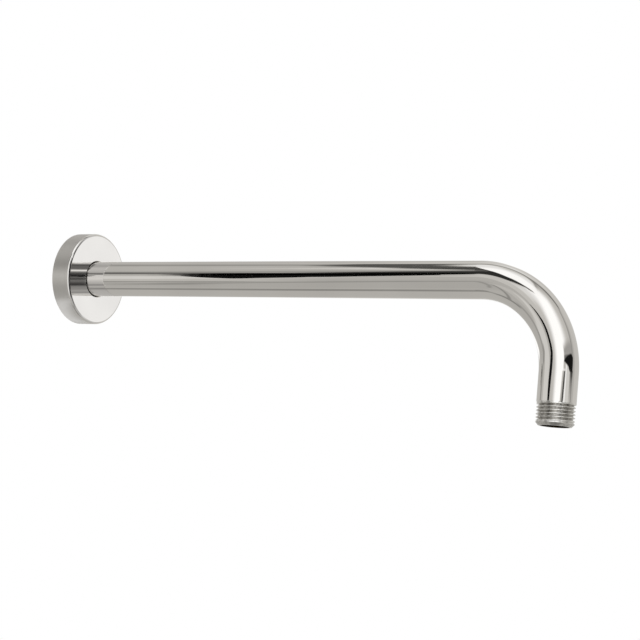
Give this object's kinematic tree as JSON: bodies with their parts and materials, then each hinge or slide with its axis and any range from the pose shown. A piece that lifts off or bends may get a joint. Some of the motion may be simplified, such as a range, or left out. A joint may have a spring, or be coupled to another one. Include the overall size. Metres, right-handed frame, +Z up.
{
  "type": "shower arm",
  "caption": "Wall-mounted shower arm: a straight round pipe with a quarter bend down to a male pipe thread, and a round cover flange that slides on it against the wall.",
  "frame": {"origin": "on the pipe's axis, in the plane of the finished wall, which is the back of the flange at rest", "axes": "+X along the straight run, away from the wall; +Z up; the outlet points along -Z; +Y across, by the right-hand rule"},
  "size_m": [0.3536, 0.056, 0.1065],
  "materials": {
    "polished_nickel": "polished nickel plating on brass",
    "seal_rubber": "matte black rubber"
  },
  "bodies": {
    "arm": {"arm_tube": "polished_nickel"},
    "seal_ring": {"flange_oring": "seal_rubber"},
    "flange": {"wall_flange": "polished_nickel"}
  },
  "joints": [
    {"name": "flange_slide", "type": "slide", "parent": "arm", "child": "seal_ring", "axis": [1, 0, 0], "range_m": [0, 0.262]},
    {"name": "flange_turn", "type": "hinge", "parent": "seal_ring", "child": "flange", "pos_m": [0.0105, 0, 0], "axis": [1, 0, 0], "continuous": true}
  ]
}
